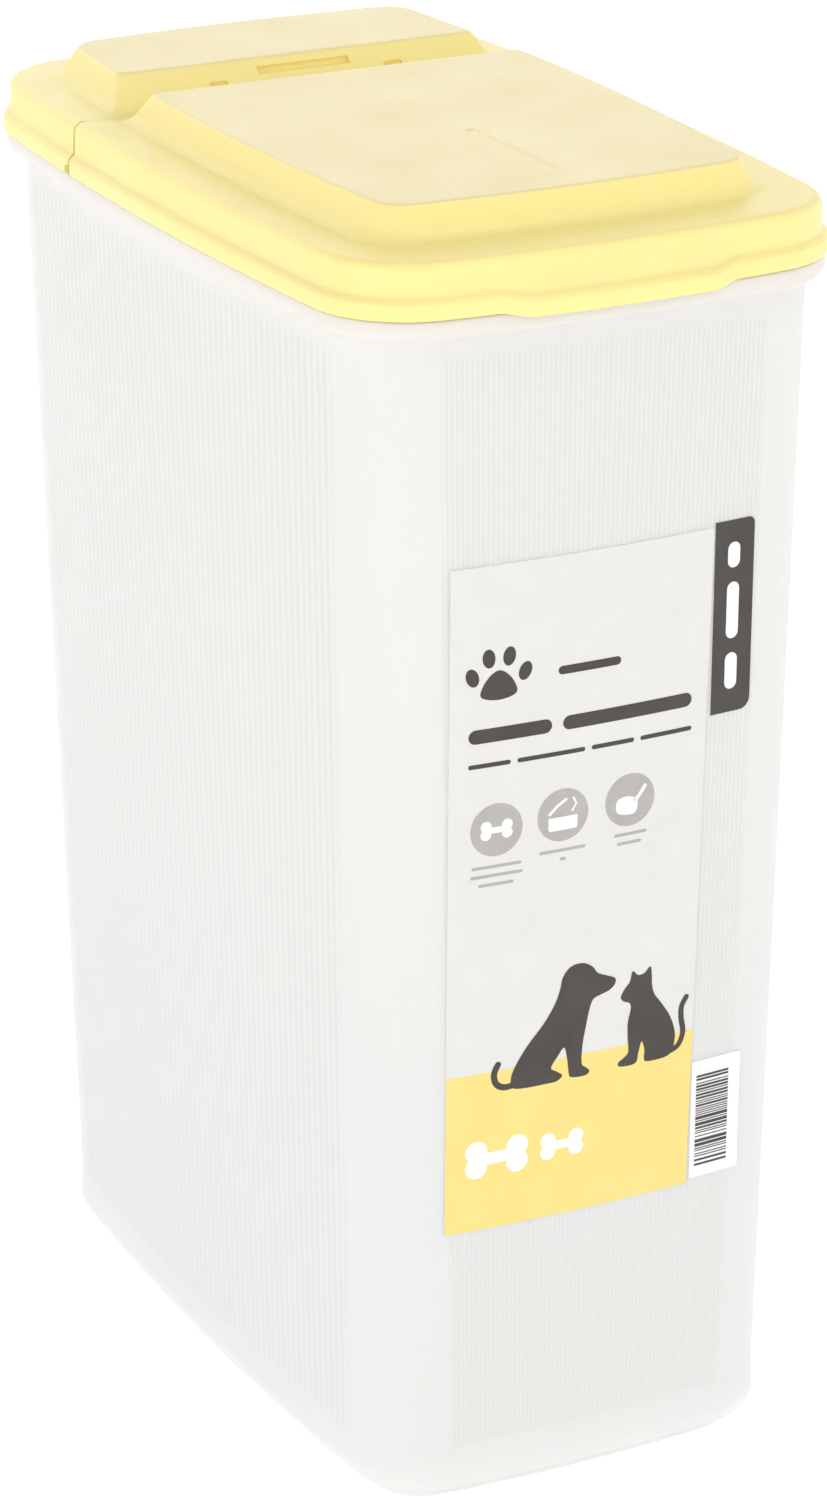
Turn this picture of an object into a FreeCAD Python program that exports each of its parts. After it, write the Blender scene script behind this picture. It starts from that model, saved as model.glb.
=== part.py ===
import FreeCAD, Part
import Sketcher
import math
import os

# Pet food bin: a tall tub with bowed sides, and a clip-on lid in two sections joined by a
# living hinge. Millimetres. X is the width, Y the depth with the front at -Y, Z is up.
# The origin is on the ground under the middle of the tub.

DIMENSIONS = [
    # outline of the tub's mouth, and how the walls taper down to the base
    ("mouth_half_width", 44.8), ("mouth_half_depth", 75.9),
    ("side_bow_radius", 860), ("end_bow_radius", 307), ("corner_radius", 13.5),
    ("draft_across", 3.8), ("draft_along", 4.5),
    # tub
    ("wall", 1.6), ("foot_height", 2.2), ("foot_inset", 4.2), ("foot_width", 2.6),
    ("base_round", 4.0), ("floor_thick", 2.0), ("floor_round", 3.0),
    ("foot_taper", 0.3), ("wall_low", 6.2), ("wall_top", 210.9),
    ("rim_low", 212.8), ("rim_high", 215.5), ("rim_reach", 3.1),
    ("neck_top", 221.6), ("neck_reach", 0.4), ("neck_round", 0.5),
    ("bead_low", 216.8), ("bead_high", 218.8), ("bead_reach", 1.8),
    # lid skirt and shoulder
    ("lid_wall", 1.4), ("lip_low", 215.7), ("lip_high", 219.0), ("lip_reach", 3.7),
    ("skirt_reach", 2.7), ("lip_step", 0.9), ("shoulder_top", 224.9), ("shoulder_round", 1.6),
    # the two raised blocks on the lid
    ("block_top", 230.5), ("block_half_width", 38.0), ("block_top_inset", 1.8),
    ("block_bow_radius", 555), ("block_corner", 7.5), ("block_top_corner", 5.5),
    ("flap_block_reach", 65.6), ("flap_block_top_reach", 63.9),
    ("rear_block_reach", 70.2), ("rear_block_top_reach", 66.2), ("block_edge_round", 0.8),
    # V groove between the blocks, with the hinge line along its bottom
    ("hinge_place", 31.4), ("slit", 0.8), ("web", 0.4), ("web_half_length", 44.5),
    ("groove_front", 28.8), ("groove_front_top", 23.6),
    ("groove_rear", 33.6), ("groove_rear_top", 38.9), ("groove_wall", 2.2),
    # catch for the open flap, and the two small slots beside it
    ("catch_half_width", 9.0), ("catch_height", 1.2), ("catch_depth", 1.1), ("catch_place", 228.6),
    ("tongue_half_width", 8.0), ("tongue_along", 26.45), ("tongue_up", 229.3),
    ("tongue_length", 2.6), ("tongue_thick", 0.9), ("tongue_lean", 56.0),
    ("slot_place", 17.0), ("slot_half_width", 1.8), ("slot_low", 225.9), ("slot_high", 227.7),
    ("slot_back", 36.6),
    # thumb tab on the flap's front
    ("tab_half_width", 17.0), ("tab_root_half_width", 21.5), ("tab_front", 81.4), ("tab_low", 215.0),
    ("tab_wall", 1.4), ("tab_overlap", 2.0), ("clearance", 0.3),
    # printed film and sticker on the front wall
    ("film", 0.15),
    ("label_left", 28.0), ("label_right_low", 18.4), ("label_right_high", 20.4),
    ("label_low", 53.0), ("label_high", 172.6),
    ("strip_right", 28.4), ("strip_low", 139.4), ("strip_high", 173.4), ("strip_corner", 1.6),
    ("strip_overlap", 1.0),
    ("sticker_left", 19.0), ("sticker_right", 29.0), ("sticker_low", 53.6), ("sticker_high", 75.8),
    # how far the forms that cut or keep a region reach past the bin, and past a wall they open
    ("beyond_side", 60), ("beyond_end", 95), ("overrun", 5),
]

doc = FreeCAD.newDocument("pet_food_bin")
sheet = doc.addObject("Spreadsheet::Sheet", "dims")
for row, (alias, number) in enumerate(DIMENSIONS, start=1):
    sheet.set(f"A{row}", alias)
    sheet.set(f"B{row}", str(number))
    sheet.setAlias(f"B{row}", alias)
doc.recompute()


def value(expression):
    """The number that an expression on the sheet gives now."""
    return float(sheet.evalExpression(expression))


# ---------------------------------------------------------------- outlines and sketches

def mouth(reach, height):
    """The tub's mouth outline moved out by reach, at a height: six expressions."""
    return (f"dims.mouth_half_width + {reach}", f"dims.mouth_half_depth + {reach}",
            f"dims.side_bow_radius + {reach}", f"dims.end_bow_radius + {reach}",
            f"dims.corner_radius + {reach}", height)


def base(reach, height):
    """The same outline at the foot of the tapering walls."""
    width, depth, *rest = mouth(reach, height)
    return (f"{width} - dims.draft_across", f"{depth} - dims.draft_along", *rest)


def block_low(depth, reach, height):
    """Outline of a raised lid block where it meets the shoulder."""
    return (f"dims.block_half_width + {reach}", f"{depth} + {reach}",
            f"dims.side_bow_radius + {reach}", f"dims.end_bow_radius + {reach}",
            f"dims.block_corner + {reach}", height)


def block_high(depth, reach, height):
    """Outline of a raised lid block at its flat top."""
    return (f"dims.block_half_width - dims.block_top_inset + {reach}", f"{depth} + {reach}",
            f"dims.block_bow_radius + {reach}", f"dims.end_bow_radius + {reach}",
            f"dims.block_top_corner + {reach}", height)


def plane_sketch(body, name, role):
    """A new sketch on one of the body's own origin planes."""
    sketch = body.newObject("Sketcher::SketchObject", name)
    plane = [item for item in body.Origin.OriginFeatures if item.Role == role][0]
    sketch.AttachmentSupport = (plane, [""])
    sketch.MapMode = "FlatFace"
    return sketch


def bowed_arcs(half_width, half_depth, side_radius, end_radius, corner):
    """Eight tangent arcs, anticlockwise from the +X side: bowed sides and round corners."""
    side_x = half_width - side_radius
    end_y = half_depth - end_radius
    # the corner's centre is side_radius - corner from one bow's centre and end_radius - corner
    # from the other's
    near, far = side_radius - corner, end_radius - corner
    span = math.hypot(side_x, end_y)
    along = (near ** 2 - far ** 2 + span ** 2) / (2 * span)
    off = math.sqrt(near ** 2 - along ** 2)
    ux, uy = -side_x / span, end_y / span
    corners = [(side_x + along * ux + off * uy, along * uy - off * ux),
               (side_x + along * ux - off * uy, along * uy + off * ux)]
    cx, cy = max(corners)
    side_turn = math.atan2(cy, cx - side_x)
    end_turn = math.atan2(cy - end_y, cx)
    arcs = []
    for turn, (x, y, radius, half) in enumerate([
            (side_x, 0, side_radius, side_turn), (0, end_y, end_radius, math.pi / 2 - end_turn),
            (-side_x, 0, side_radius, side_turn), (0, -end_y, end_radius, math.pi / 2 - end_turn)]):
        middle = turn * math.pi / 2
        arcs.append((x, y, radius, middle - half, middle + half))
        sign_x = 1 if turn in (0, 3) else -1
        sign_y = 1 if turn in (0, 1) else -1
        first = middle + half
        sweep = end_turn - side_turn
        arcs.append((sign_x * cx, sign_y * cy, corner, first, first + sweep))
    return arcs


def bowed_sketch(body, name, outline):
    """A closed outline of eight tangent arcs at its height, sized by expressions."""
    *sizes, height = outline
    numbers = [value(size) for size in sizes]
    sketch = plane_sketch(body, name, "XY_Plane")
    sketch.setExpression(".AttachmentOffset.Base.z", height)
    up = FreeCAD.Vector(0, 0, 1)
    for x, y, radius, first, last in bowed_arcs(*numbers):
        circle = Part.Circle(FreeCAD.Vector(x, y, 0), up, radius)
        sketch.addGeometry(Part.ArcOfCircle(circle, first, last), False)
    start, end, centre, axis_x, axis_y = 1, 2, 3, -1, -2
    for index in range(8):
        sketch.addConstraint(Sketcher.Constraint("Tangent", index, end, (index + 1) % 8, start))
    for index, axis in ((0, axis_x), (4, axis_x), (2, axis_y), (6, axis_y)):
        sketch.addConstraint(Sketcher.Constraint("PointOnObject", index, centre, axis))
    for same, as_this in ((4, 0), (6, 2), (3, 1), (5, 1), (7, 1)):
        sketch.addConstraint(Sketcher.Constraint("Equal", as_this, same))
    width, depth, side_radius, end_radius, corner = sizes
    sized = [
        (Sketcher.Constraint("Radius", 0, numbers[2]), side_radius),
        (Sketcher.Constraint("Radius", 2, numbers[3]), end_radius),
        (Sketcher.Constraint("Radius", 1, numbers[4]), corner),
        (Sketcher.Constraint("DistanceX", 0, centre, -1, 1, numbers[2] - numbers[0]),
         f"{side_radius} - ({width})"),
        (Sketcher.Constraint("DistanceX", -1, 1, 4, centre, numbers[2] - numbers[0]),
         f"{side_radius} - ({width})"),
        (Sketcher.Constraint("DistanceY", 2, centre, -1, 1, numbers[3] - numbers[1]),
         f"{end_radius} - ({depth})"),
        (Sketcher.Constraint("DistanceY", -1, 1, 6, centre, numbers[3] - numbers[1]),
         f"{end_radius} - ({depth})"),
    ]
    for constraint, expression in sized:
        number = sketch.addConstraint(constraint)
        sketch.setExpression(f"Constraints[{number}]", expression)
    return sketch


def polygon_sketch(body, name, role, points, offset="0"):
    """A closed polygon on an origin plane: each corner is a pair of expressions."""
    sketch = plane_sketch(body, name, role)
    sketch.setExpression(".AttachmentOffset.Base.z", offset)
    spots = [FreeCAD.Vector(value(across), value(up), 0) for across, up in points]
    for first, last in zip(spots, spots[1:] + spots[:1]):
        sketch.addGeometry(Part.LineSegment(first, last), False)
    for index, (across, up) in enumerate(points):
        before = (index - 1) % len(points)
        sketch.addConstraint(Sketcher.Constraint("Coincident", before, 2, index, 1))
        for kind, expression in (("DistanceX", across), ("DistanceY", up)):
            constraint = Sketcher.Constraint(kind, -1, 1, index, 1, value(expression))
            number = sketch.addConstraint(constraint)
            sketch.setExpression(f"Constraints[{number}]", expression)
    return sketch


# ---------------------------------------------------------------- features

def layer(body, name, low, high, kind="PartDesign::AdditiveLoft"):
    """One ruled layer between two bowed outlines, added to the body or cut from it."""
    loft = body.newObject(kind, name)
    loft.Profile = bowed_sketch(body, name + "_low", low)
    loft.Sections = [bowed_sketch(body, name + "_high", high)]
    loft.Ruled = True
    return loft


def round_layers(body, name, outline, reach, height, radius, steps, widening):
    """A quarter-round edge as a few ruled layers, widening upward or closing in upward."""
    def level(index):
        turn = math.pi / 2 * index / steps
        inset = 1 - math.sin(turn) if widening else 1 - math.cos(turn)
        rise = 1 - math.cos(turn) if widening else math.sin(turn)
        return outline(f"{reach} - {radius} * {inset:.5f}", f"{height} + {radius} * {rise:.5f}")

    for index in range(steps):
        layer(body, f"{name}_{index}", level(index), level(index + 1))


def level_edges(shape, height):
    """Names of the edges that lie flat at a height."""
    names = []
    for number, edge in enumerate(shape.Edges, start=1):
        edge_box = edge.BoundBox
        if edge_box.ZMax - edge_box.ZMin < 0.01 and abs(edge_box.ZMax - height) < 0.01:
            names.append(f"Edge{number}")
    return names


def round_edges(body, name, previous, radius, edges):
    """Round the named edges of the body's last feature."""
    fillet = body.newObject("PartDesign::Fillet", name)
    fillet.Base = (previous, edges)
    fillet.setExpression("Radius", radius)
    return fillet


def prism(name, role, points, low, high, offset="0"):
    """A body that is one polygon padded from low to high along the plane's normal."""
    body = doc.addObject("PartDesign::Body", name)
    pad = body.newObject("PartDesign::Pad", name + "_pad")
    pad.Profile = polygon_sketch(body, name + "_outline", role, points, offset)
    pad.setExpression("Length", high)
    pad.Type2 = "Length"
    pad.SideType = "Two sides"
    pad.setExpression("Length2", low)
    return body


def box(name, low, high):
    """A plain block between two corners, each given as three expressions."""
    block = doc.addObject("Part::Box", name)
    for side, place, first, last in zip(("Length", "Width", "Height"), "xyz", low, high):
        block.setExpression(side, f"({last}) - ({first})")
        block.setExpression(f".Placement.Base.{place}", first)
    return block


def boolean(kind, name, base_shape, tool):
    """A Part boolean of two objects."""
    result = doc.addObject(kind, name)
    result.Base = base_shape
    result.Tool = tool
    return result


def fuse(name, *shapes):
    """Several objects joined in one."""
    result = doc.addObject("Part::MultiFuse", name)
    result.Shapes = list(shapes)
    result.Refine = True
    return result


# ---------------------------------------------------------------- tub

def make_container():
    """Tub with tapering bowed walls, a foot ring, a rim flange and a neck that the lid clips on."""
    body = doc.addObject("PartDesign::Body", "container_body")
    round_layers(body, "base_rounding", base, "0", "dims.foot_height", "dims.base_round",
                 steps=5, widening=True)
    layer(body, "wall", base("0", "dims.wall_low"), mouth("0", "dims.wall_top"))
    layer(body, "rim_underside", mouth("0", "dims.wall_top"),
          mouth("dims.rim_reach", "dims.rim_low"))
    layer(body, "rim_flange", mouth("dims.rim_reach", "dims.rim_low"),
          mouth("dims.rim_reach", "dims.rim_high"))
    layer(body, "neck", mouth("dims.neck_reach", "dims.rim_high"),
          mouth("dims.neck_reach", "dims.neck_top"))
    bead_crest = mouth("dims.bead_reach", "(dims.bead_low + dims.bead_high) / 2")
    layer(body, "snap_bead_under", mouth("dims.neck_reach", "dims.bead_low"), bead_crest)
    layer(body, "snap_bead_over", bead_crest, mouth("dims.neck_reach", "dims.bead_high"))
    foot_inner = "-dims.foot_inset - dims.foot_width"
    layer(body, "foot", base("-dims.foot_inset - dims.foot_taper", "0"),
          base("-dims.foot_inset", "dims.foot_height"))
    layer(body, "foot_recess", base(f"{foot_inner} + dims.foot_taper", "0"),
          base(foot_inner, "dims.foot_height"), "PartDesign::SubtractiveLoft")
    floor_top = "dims.foot_height + dims.floor_thick"
    cavity = layer(body, "cavity", base("-dims.wall", floor_top),
                   mouth("-dims.wall", "dims.neck_top"), "PartDesign::SubtractiveLoft")
    doc.recompute()
    edges = level_edges(cavity.Shape, value(floor_top))
    floor = round_edges(body, "floor_rounding", cavity, "dims.floor_round", edges)
    doc.recompute()
    edges = level_edges(floor.Shape, value("dims.neck_top"))
    round_edges(body, "neck_rounding", floor, "dims.neck_round", edges)
    return body


# ---------------------------------------------------------------- lid

def make_cap_outer():
    """Outer form of the whole lid's skirt and shoulder."""
    body = doc.addObject("PartDesign::Body", "cap_outer")
    lip_end = mouth("dims.lip_reach", "dims.lip_high")
    skirt_start = mouth("dims.skirt_reach", "dims.lip_high + dims.lip_step")
    layer(body, "cap_lip", mouth("dims.lip_reach", "dims.lip_low"), lip_end)
    layer(body, "cap_step", lip_end, skirt_start)
    skirt = layer(body, "cap_skirt", skirt_start, mouth("dims.skirt_reach", "dims.shoulder_top"))
    doc.recompute()
    edges = level_edges(skirt.Shape, value("dims.shoulder_top"))
    round_edges(body, "cap_shoulder", skirt, "dims.shoulder_round", edges)
    return body


def make_cap_inner():
    """Hollow under the whole lid's skirt and shoulder."""
    body = doc.addObject("PartDesign::Body", "cap_inner")
    lip, skirt = "dims.lip_reach - dims.lid_wall", "dims.skirt_reach - dims.lid_wall"
    lip_end = mouth(lip, "dims.lip_high + dims.lip_step / 3")
    skirt_start = mouth(skirt, "dims.lip_high + dims.lip_step")
    layer(body, "hollow_lip", mouth(lip, "dims.lip_low - dims.overrun"), lip_end)
    layer(body, "hollow_step", lip_end, skirt_start)
    layer(body, "hollow_skirt", skirt_start, mouth(skirt, "dims.shoulder_top - dims.lid_wall"))
    return body


def make_block(name, low_reach, high_reach, inset, slope):
    """One raised block of the lid, cut off by the groove's sloping wall.

    inset is how far the form lies inside the block's outer skin, and slope is the polygon of
    what is kept beyond the groove's wall. Form and skin both start inside the shoulder.
    """
    body = doc.addObject("PartDesign::Body", name + "_full")
    start = f"dims.shoulder_top - dims.lid_wall / 2 - {inset}"
    edge = f"dims.block_top - dims.block_edge_round - {inset}"

    def top_outline(reach, height):
        return block_high(high_reach, reach, height)

    layer(body, name + "_rise", block_low(low_reach, f"-{inset}", start),
          top_outline(f"-{inset}", edge))
    round_layers(body, name + "_edge", top_outline, f"-{inset}", edge, "dims.block_edge_round",
                 steps=3, widening=False)
    keep = prism(name + "_keep", "YZ_Plane", slope, "dims.beyond_side", "dims.beyond_side")
    return boolean("Part::Common", name, body, keep)


def groove_side(foot_place, head_place, sign, thick="0"):
    """Polygon of what lies beyond one sloping wall of the groove, thick inside its skin.

    sign is "-" for the front side of the groove and "+" for the rear side.
    """
    rise = "(dims.block_top - dims.shoulder_top)"
    run = f"({head_place} - {foot_place})"
    shift = f"{sign} {thick} * sqrt(1 + ({run} / {rise}) ^ 2)"
    low = (f"{foot_place} - dims.overrun * {run} / {rise} {shift}",
           "dims.shoulder_top - dims.overrun")
    high = (f"{head_place} + dims.overrun * {run} / {rise} {shift}",
            "dims.block_top + dims.overrun")
    away = f"{sign}dims.beyond_end"
    return [low, (away, low[1]), (away, high[1]), high]


def make_tab():
    """Thumb tab: a shallow outward bulge of the flap's front lip, hollow underneath."""
    root = "-(dims.mouth_half_depth + dims.lip_reach) + dims.tab_overlap"
    outer = prism("tab_outer", "XY_Plane", [
        ("-dims.tab_root_half_width", root), ("-dims.tab_half_width", "-dims.tab_front"),
        ("dims.tab_half_width", "-dims.tab_front"), ("dims.tab_root_half_width", root)],
        "0", "dims.lip_high - dims.tab_low", "dims.tab_low")
    root_side = "(dims.tab_root_half_width - dims.tab_wall)"
    side = "(dims.tab_half_width - dims.tab_wall / 2)"
    front = "-dims.tab_front + dims.tab_wall"
    behind = f"{root} + dims.overrun"
    inner = prism("tab_inner", "XY_Plane", [
        (f"-{root_side}", behind), (f"-{root_side}", root), (f"-{side}", front),
        (side, front), (root_side, root), (root_side, behind)],
        "dims.overrun", "dims.lip_high - dims.tab_low - dims.tab_wall", "dims.tab_low")
    rim_room = doc.addObject("PartDesign::Body", "rim_room")
    room_reach = "dims.rim_reach + dims.clearance"
    layer(rim_room, "rim_room_loft", mouth(room_reach, "dims.tab_low - dims.overrun"),
          mouth(room_reach, "dims.lip_low"))
    return boolean("Part::Cut", "tab_skin", outer, rim_room), inner


def make_tongue():
    """Small ridge on the flap's rear wall that meets the catch when the flap is open."""
    lean = "dims.tongue_lean * 1 deg"
    half = "dims.tongue_thick / 2"
    tip, up = "dims.tongue_along", "dims.tongue_up"
    ahead = f"dims.tongue_length * cos({lean})"
    rise = f"dims.tongue_length * sin({lean})"
    side_y, side_z = f"{half} * sin({lean})", f"{half} * cos({lean})"
    points = [(f"{tip} - {side_y}", f"{up} + {side_z}"),
              (f"{tip} - {side_y} - {ahead}", f"{up} + {side_z} - {rise}"),
              (f"{tip} + {side_y} - {ahead}", f"{up} - {side_z} - {rise}"),
              (f"{tip} + {side_y}", f"{up} - {side_z}")]
    return prism("tongue", "YZ_Plane", points, "dims.tongue_half_width", "dims.tongue_half_width")


def make_flap(cap_outer, cap_inner):
    """Front section of the lid, which swings up about the hinge line."""
    reach = ("dims.flap_block_reach", "dims.flap_block_top_reach")
    groove = ("dims.groove_front", "dims.groove_front_top", "-")
    outer = make_block("flap_block", *reach, "0", groove_side(*groove))
    inner = make_block("flap_hollow", *reach, "dims.lid_wall",
                       groove_side(*groove, "dims.lid_wall"))
    tab_outer, tab_inner = make_tab()
    skin = fuse("flap_skin", cap_outer, outer, tab_outer)
    hollow = fuse("flap_inside", cap_inner, inner, tab_inner)
    shell = boolean("Part::Cut", "flap_shell", skin, hollow)
    front = box("front_part",
                ("-dims.beyond_side", "-dims.beyond_end", "dims.tab_low - dims.overrun"),
                ("dims.beyond_side", "dims.hinge_place - dims.slit / 2",
                 "dims.block_top + dims.overrun"))
    half = boolean("Part::Common", "flap_half", shell, front)
    clear = boolean("Part::Cut", "tongue_clear", make_tongue(), inner)
    return fuse("lid_flap", half, clear)


def make_rear(cap_outer, cap_inner):
    """Rear section of the lid, which stays clipped on the tub."""
    reach = ("dims.rear_block_reach", "dims.rear_block_top_reach")
    groove = ("dims.groove_rear", "dims.groove_rear_top", "+")
    outer = make_block("rear_block", *reach, "0", groove_side(*groove))
    inner = make_block("rear_hollow", *reach, "dims.lid_wall",
                       groove_side(*groove, "dims.groove_wall"))
    skin = fuse("rear_skin", cap_outer, outer)
    hollow = fuse("rear_inside", cap_inner, inner)
    shell = boolean("Part::Cut", "rear_shell", skin, hollow)
    back = box("back_part",
               ("-dims.beyond_side", "dims.hinge_place + dims.slit / 2",
                "dims.lip_low - dims.overrun"),
               ("dims.beyond_side", "dims.beyond_end", "dims.block_top + dims.overrun"))
    half = boolean("Part::Common", "rear_half", shell, back)

    slope = "(dims.groove_rear_top - dims.groove_rear) / (dims.block_top - dims.shoulder_top)"
    face = f"(dims.groove_rear + ({slope}) * (dims.catch_place - dims.shoulder_top))"
    catch = box("catch_recess",
                ("-dims.catch_half_width", f"{face} - dims.overrun",
                 "dims.catch_place - dims.catch_height / 2"),
                ("dims.catch_half_width", f"{face} + dims.catch_depth",
                 "dims.catch_place + dims.catch_height / 2"))
    cuts = [catch]
    for name, side in (("left", "-"), ("right", "")):
        middle = f"{side}dims.slot_place"
        cuts.append(box(f"slot_{name}",
                        (f"{middle} - dims.slot_half_width", "dims.groove_rear", "dims.slot_low"),
                        (f"{middle} + dims.slot_half_width", "dims.slot_back", "dims.slot_high")))
    return boolean("Part::Cut", "lid_rear_section", half, fuse("rear_cuts", *cuts))


def make_web():
    """Thin web of the living hinge, flush with the shoulder's top between the two side slits."""
    return box("living_hinge",
               ("-dims.web_half_length", "dims.hinge_place - dims.slit / 2",
                "dims.shoulder_top - dims.web"),
               ("dims.web_half_length", "dims.hinge_place + dims.slit / 2", "dims.shoulder_top"))


# ---------------------------------------------------------------- label and sticker

def make_films():
    """Printed film and barcode sticker: thin skins that follow the bowed, tapering front wall."""
    tub_form = doc.addObject("PartDesign::Body", "wall_form")
    layer(tub_form, "wall_form_loft", base("0", "dims.wall_low"), mouth("0", "dims.wall_top"))
    skin_form = doc.addObject("PartDesign::Body", "skin_form")
    layer(skin_form, "skin_form_loft", base("dims.film", "dims.wall_low"),
          mouth("dims.film", "dims.wall_top"))
    skin = boolean("Part::Cut", "wall_skin", skin_form, tub_form)
    reach = "dims.mouth_half_depth + dims.overrun"
    # on the XZ plane the sketch's first axis is X and its second is Z, and the front is its back
    label_main = prism("label_main", "XZ_Plane", [
        ("-dims.label_left", "dims.label_low"), ("dims.label_right_low", "dims.label_low"),
        ("dims.label_right_high", "dims.label_high"), ("-dims.label_left", "dims.label_high")],
        "0", reach)
    corner = "dims.strip_corner"
    seam = "dims.label_right_high - dims.strip_overlap"
    label_strip = prism("label_strip", "XZ_Plane", [
        (seam, "dims.strip_low"),
        (f"dims.strip_right - {corner}", "dims.strip_low"),
        ("dims.strip_right", f"dims.strip_low + {corner}"),
        ("dims.strip_right", f"dims.strip_high - {corner}"),
        (f"dims.strip_right - {corner}", "dims.strip_high"),
        (seam, "dims.label_high")], "0", reach)
    outline = fuse("label_outline", label_main, label_strip)
    label = boolean("Part::Common", "product_label", outline, skin)
    sticker_form = prism("sticker_form", "XZ_Plane", [
        ("dims.sticker_left", "dims.sticker_low"), ("dims.sticker_right", "dims.sticker_low"),
        ("dims.sticker_right", "dims.sticker_high"), ("dims.sticker_left", "dims.sticker_high")],
        "0", reach)
    sticker = boolean("Part::Common", "barcode_sticker", sticker_form, skin)
    return label, sticker


def main():
    container = make_container()
    cap_outer = make_cap_outer()
    cap_inner = make_cap_inner()
    flap = make_flap(cap_outer, cap_inner)
    rear = make_rear(cap_outer, cap_inner)
    web = make_web()
    label, sticker = make_films()
    doc.recompute()

    for item in doc.Objects:
        if "Invalid" in item.State or "Error" in item.State:
            raise RuntimeError(f"{item.Name} failed: {item.State}")
    os.makedirs("parts", exist_ok=True)
    for node in (container, flap, rear, web, label, sticker):
        shape = node.Shape
        if shape.isNull() or not shape.isValid() or not shape.Solids:
            raise RuntimeError(f"{node.Label} has no valid solid")
        print(f"{node.Label}: {shape.Volume / 1000:.2f} cm3, {shape.BoundBox}")
        shape.exportStep(os.path.join("parts", node.Label + ".step"))


main()
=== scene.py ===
import math
import random

import bmesh
import bpy
from mathutils import Matrix, Vector


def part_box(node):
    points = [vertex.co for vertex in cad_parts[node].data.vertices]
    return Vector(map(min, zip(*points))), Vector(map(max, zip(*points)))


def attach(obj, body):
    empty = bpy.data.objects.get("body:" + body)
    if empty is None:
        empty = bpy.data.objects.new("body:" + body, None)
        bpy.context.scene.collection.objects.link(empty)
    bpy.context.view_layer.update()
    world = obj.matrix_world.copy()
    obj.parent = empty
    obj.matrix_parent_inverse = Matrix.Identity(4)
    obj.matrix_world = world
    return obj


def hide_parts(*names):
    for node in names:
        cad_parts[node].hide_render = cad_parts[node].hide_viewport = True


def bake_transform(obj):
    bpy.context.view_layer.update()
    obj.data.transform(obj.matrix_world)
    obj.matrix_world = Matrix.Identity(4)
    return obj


# Pet food bin: the looks of the tub, the two lid sections, the hinge web, the label and the
# sticker. All forms are worked out in millimetres, in the row frame, and made in metres.

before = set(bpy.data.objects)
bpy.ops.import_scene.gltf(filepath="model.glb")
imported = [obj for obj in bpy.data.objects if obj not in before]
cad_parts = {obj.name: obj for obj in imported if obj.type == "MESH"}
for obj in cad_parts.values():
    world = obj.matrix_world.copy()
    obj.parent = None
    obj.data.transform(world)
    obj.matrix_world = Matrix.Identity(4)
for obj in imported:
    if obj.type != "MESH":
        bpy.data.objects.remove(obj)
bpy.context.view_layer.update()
MM = 0.001


def box_mm(node):
    """Lowest and highest corner of a CAD node, in millimetres."""
    low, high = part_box(node)
    return low / MM, high / MM


tub_low, tub_high = box_mm("container_body")
flap_low, flap_high = box_mm("lid_flap")
rear_low, rear_high = box_mm("lid_rear_section")
web_low, web_high = box_mm("living_hinge")
label_low, label_high = box_mm("product_label")
sticker_low, sticker_high = box_mm("barcode_sticker")

# ---------------------------------------------------------------- sizes

RIM_REACH = 3.1                         # the rim flange stands this far out from the mouth
MOUTH_X = tub_high.x - RIM_REACH        # half width and half depth of the tub's mouth
MOUTH_Y = tub_high.y - RIM_REACH
NECK_TOP = tub_high.z
SIDE_BOW, END_BOW, CORNER = 860.0, 307.0, 13.5
DRAFT_X, DRAFT_Y = 3.8, 4.5             # how much the walls taper in, from mouth to base
WALL = 1.6
FOOT_HEIGHT, FLOOR_TOP = 2.2, 4.2
BASE_ROUND = 4.0
WALL_LOW, WALL_TOP = 6.2, NECK_TOP - 10.7
RIM_LOW, RIM_HIGH = NECK_TOP - 8.8, NECK_TOP - 6.1

LID_WALL = 1.4
LIP_LOW, LIP_HIGH = rear_low.z, rear_low.z + 3.3
LIP_REACH, SKIRT_REACH = 3.7, 2.7
SHOULDER_TOP = web_high.z
BLOCK_TOP = flap_high.z
BLOCK_X, BLOCK_X_TOP = 38.0, 36.2       # half widths of the raised blocks, at foot and top
FLAP_BLOCK, FLAP_BLOCK_TOP = 65.6, 63.9
REAR_BLOCK, REAR_BLOCK_TOP = 70.2, 66.2
BLOCK_BOW_TOP = 555.0
GROOVE_FRONT, GROOVE_FRONT_TOP = 28.8, 23.6
GROOVE_REAR, GROOVE_REAR_TOP = 33.6, 38.9
CATCH_PLACE, CATCH_HALF, CATCH_HALF_HEIGHT, CATCH_DEPTH = 228.6, 9.0, 0.6, 1.0
SLOT_PLACE, SLOT_HALF, SLOT_LOW, SLOT_HIGH, SLOT_BACK = 17.0, 1.8, 225.9, 227.7, 36.6

SIDE_RIB_PITCH, END_RIB_PITCH, RIB_DEPTH, RIB_RELIEF = 2.1, 0.95, 0.22, 0.09


# ---------------------------------------------------------------- curves

def turn_points(centre_x, centre_y, radius, first, last, count):
    """count points on an arc from first towards last, the last one left out."""
    step = (last - first) / count
    return [(centre_x + radius * math.cos(first + step * i),
             centre_y + radius * math.sin(first + step * i)) for i in range(count)]


def corner_turns(half_x, half_y, side_radius, end_radius, corner):
    """Centre of the corner between two bows, and the directions where its arc starts and ends."""
    side_x, end_y = half_x - side_radius, half_y - end_radius
    near, far = side_radius - corner, end_radius - corner
    span = math.hypot(side_x, end_y)
    along = (near ** 2 - far ** 2 + span ** 2) / (2 * span)
    off = math.sqrt(near ** 2 - along ** 2)
    ux, uy = -side_x / span, end_y / span
    centres = [(side_x + along * ux + off * uy, along * uy - off * ux),
               (side_x + along * ux - off * uy, along * uy + off * ux)]
    cx, cy = max(centres)
    return cx, cy, math.atan2(cy, cx - side_x), math.atan2(cy - end_y, cx)


def blend_value(first, last, share):
    return first + (last - first) * share


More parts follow.
